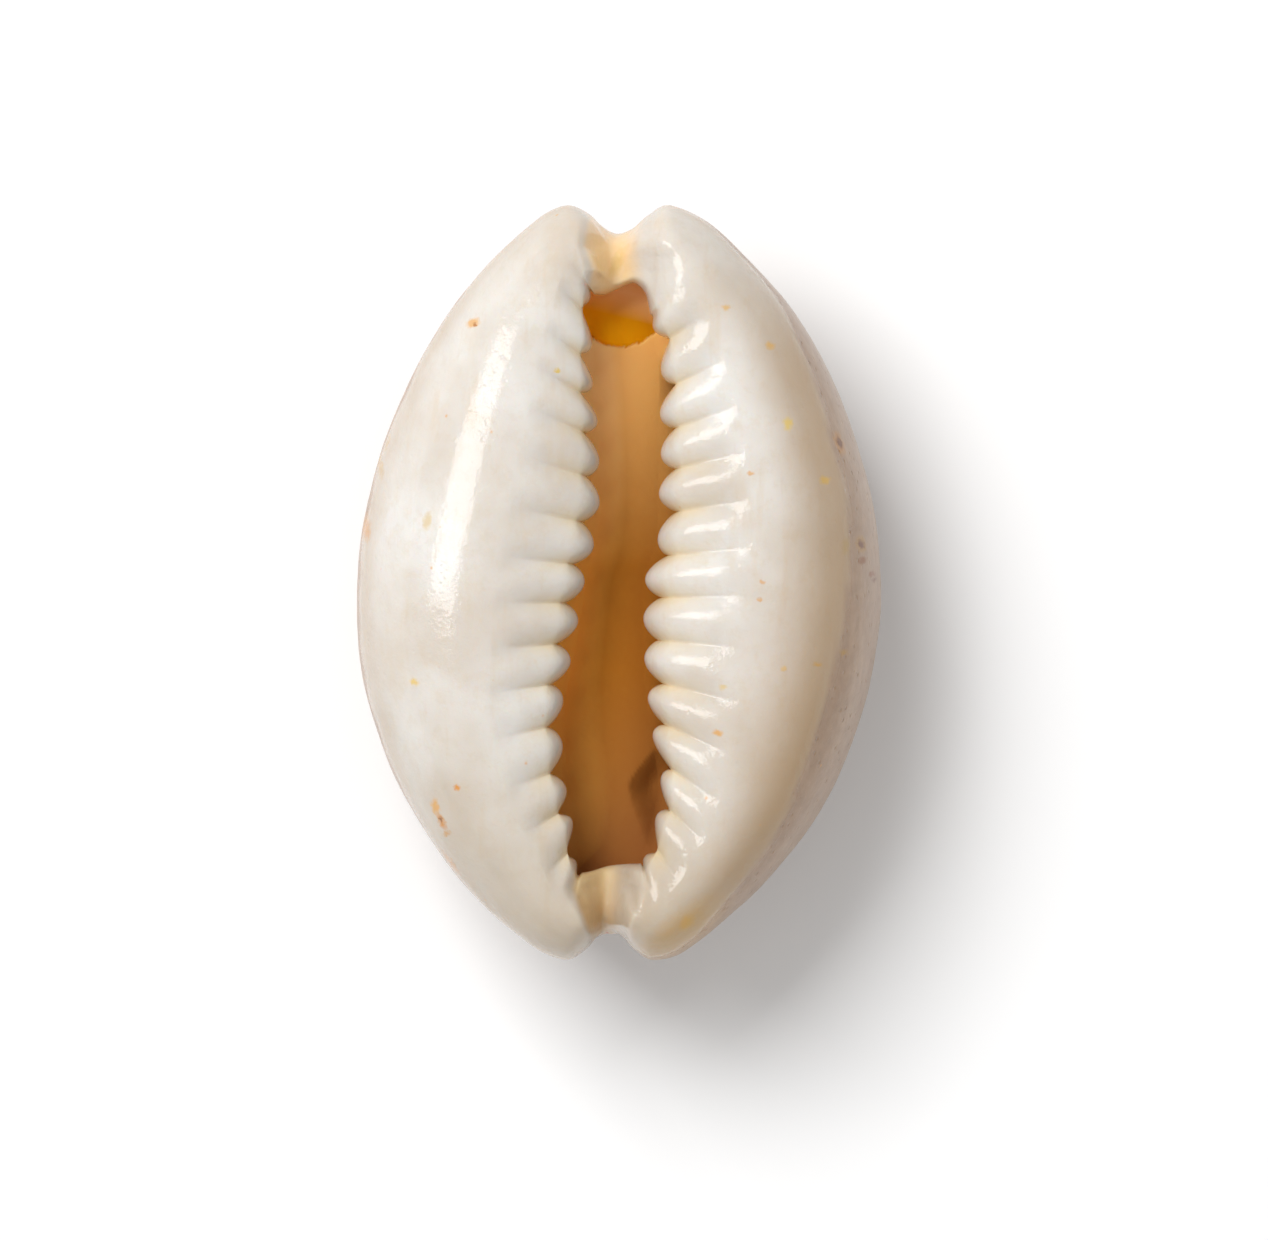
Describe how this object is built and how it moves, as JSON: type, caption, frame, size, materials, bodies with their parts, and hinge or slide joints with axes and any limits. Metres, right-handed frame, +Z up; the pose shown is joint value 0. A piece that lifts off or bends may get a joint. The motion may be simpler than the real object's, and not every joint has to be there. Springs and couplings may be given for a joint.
{
  "type": "cowrie shell",
  "caption": "Small glossy cream cowrie shell lying on its domed back, with a long toothed aperture between two inrolled lips and a canal at each end.",
  "frame": {"origin": "middle of the shell's footprint, on the surface that it rests on", "axes": "+Z up out of the aperture, +Y along the shell to its posterior end, +X to its outer lip"},
  "size_m": [0.0169, 0.024, 0.012],
  "materials": {
    "shell": "glossy"
  },
  "bodies": {
    "root": {"shell": "shell"}
  },
  "joints": []
}
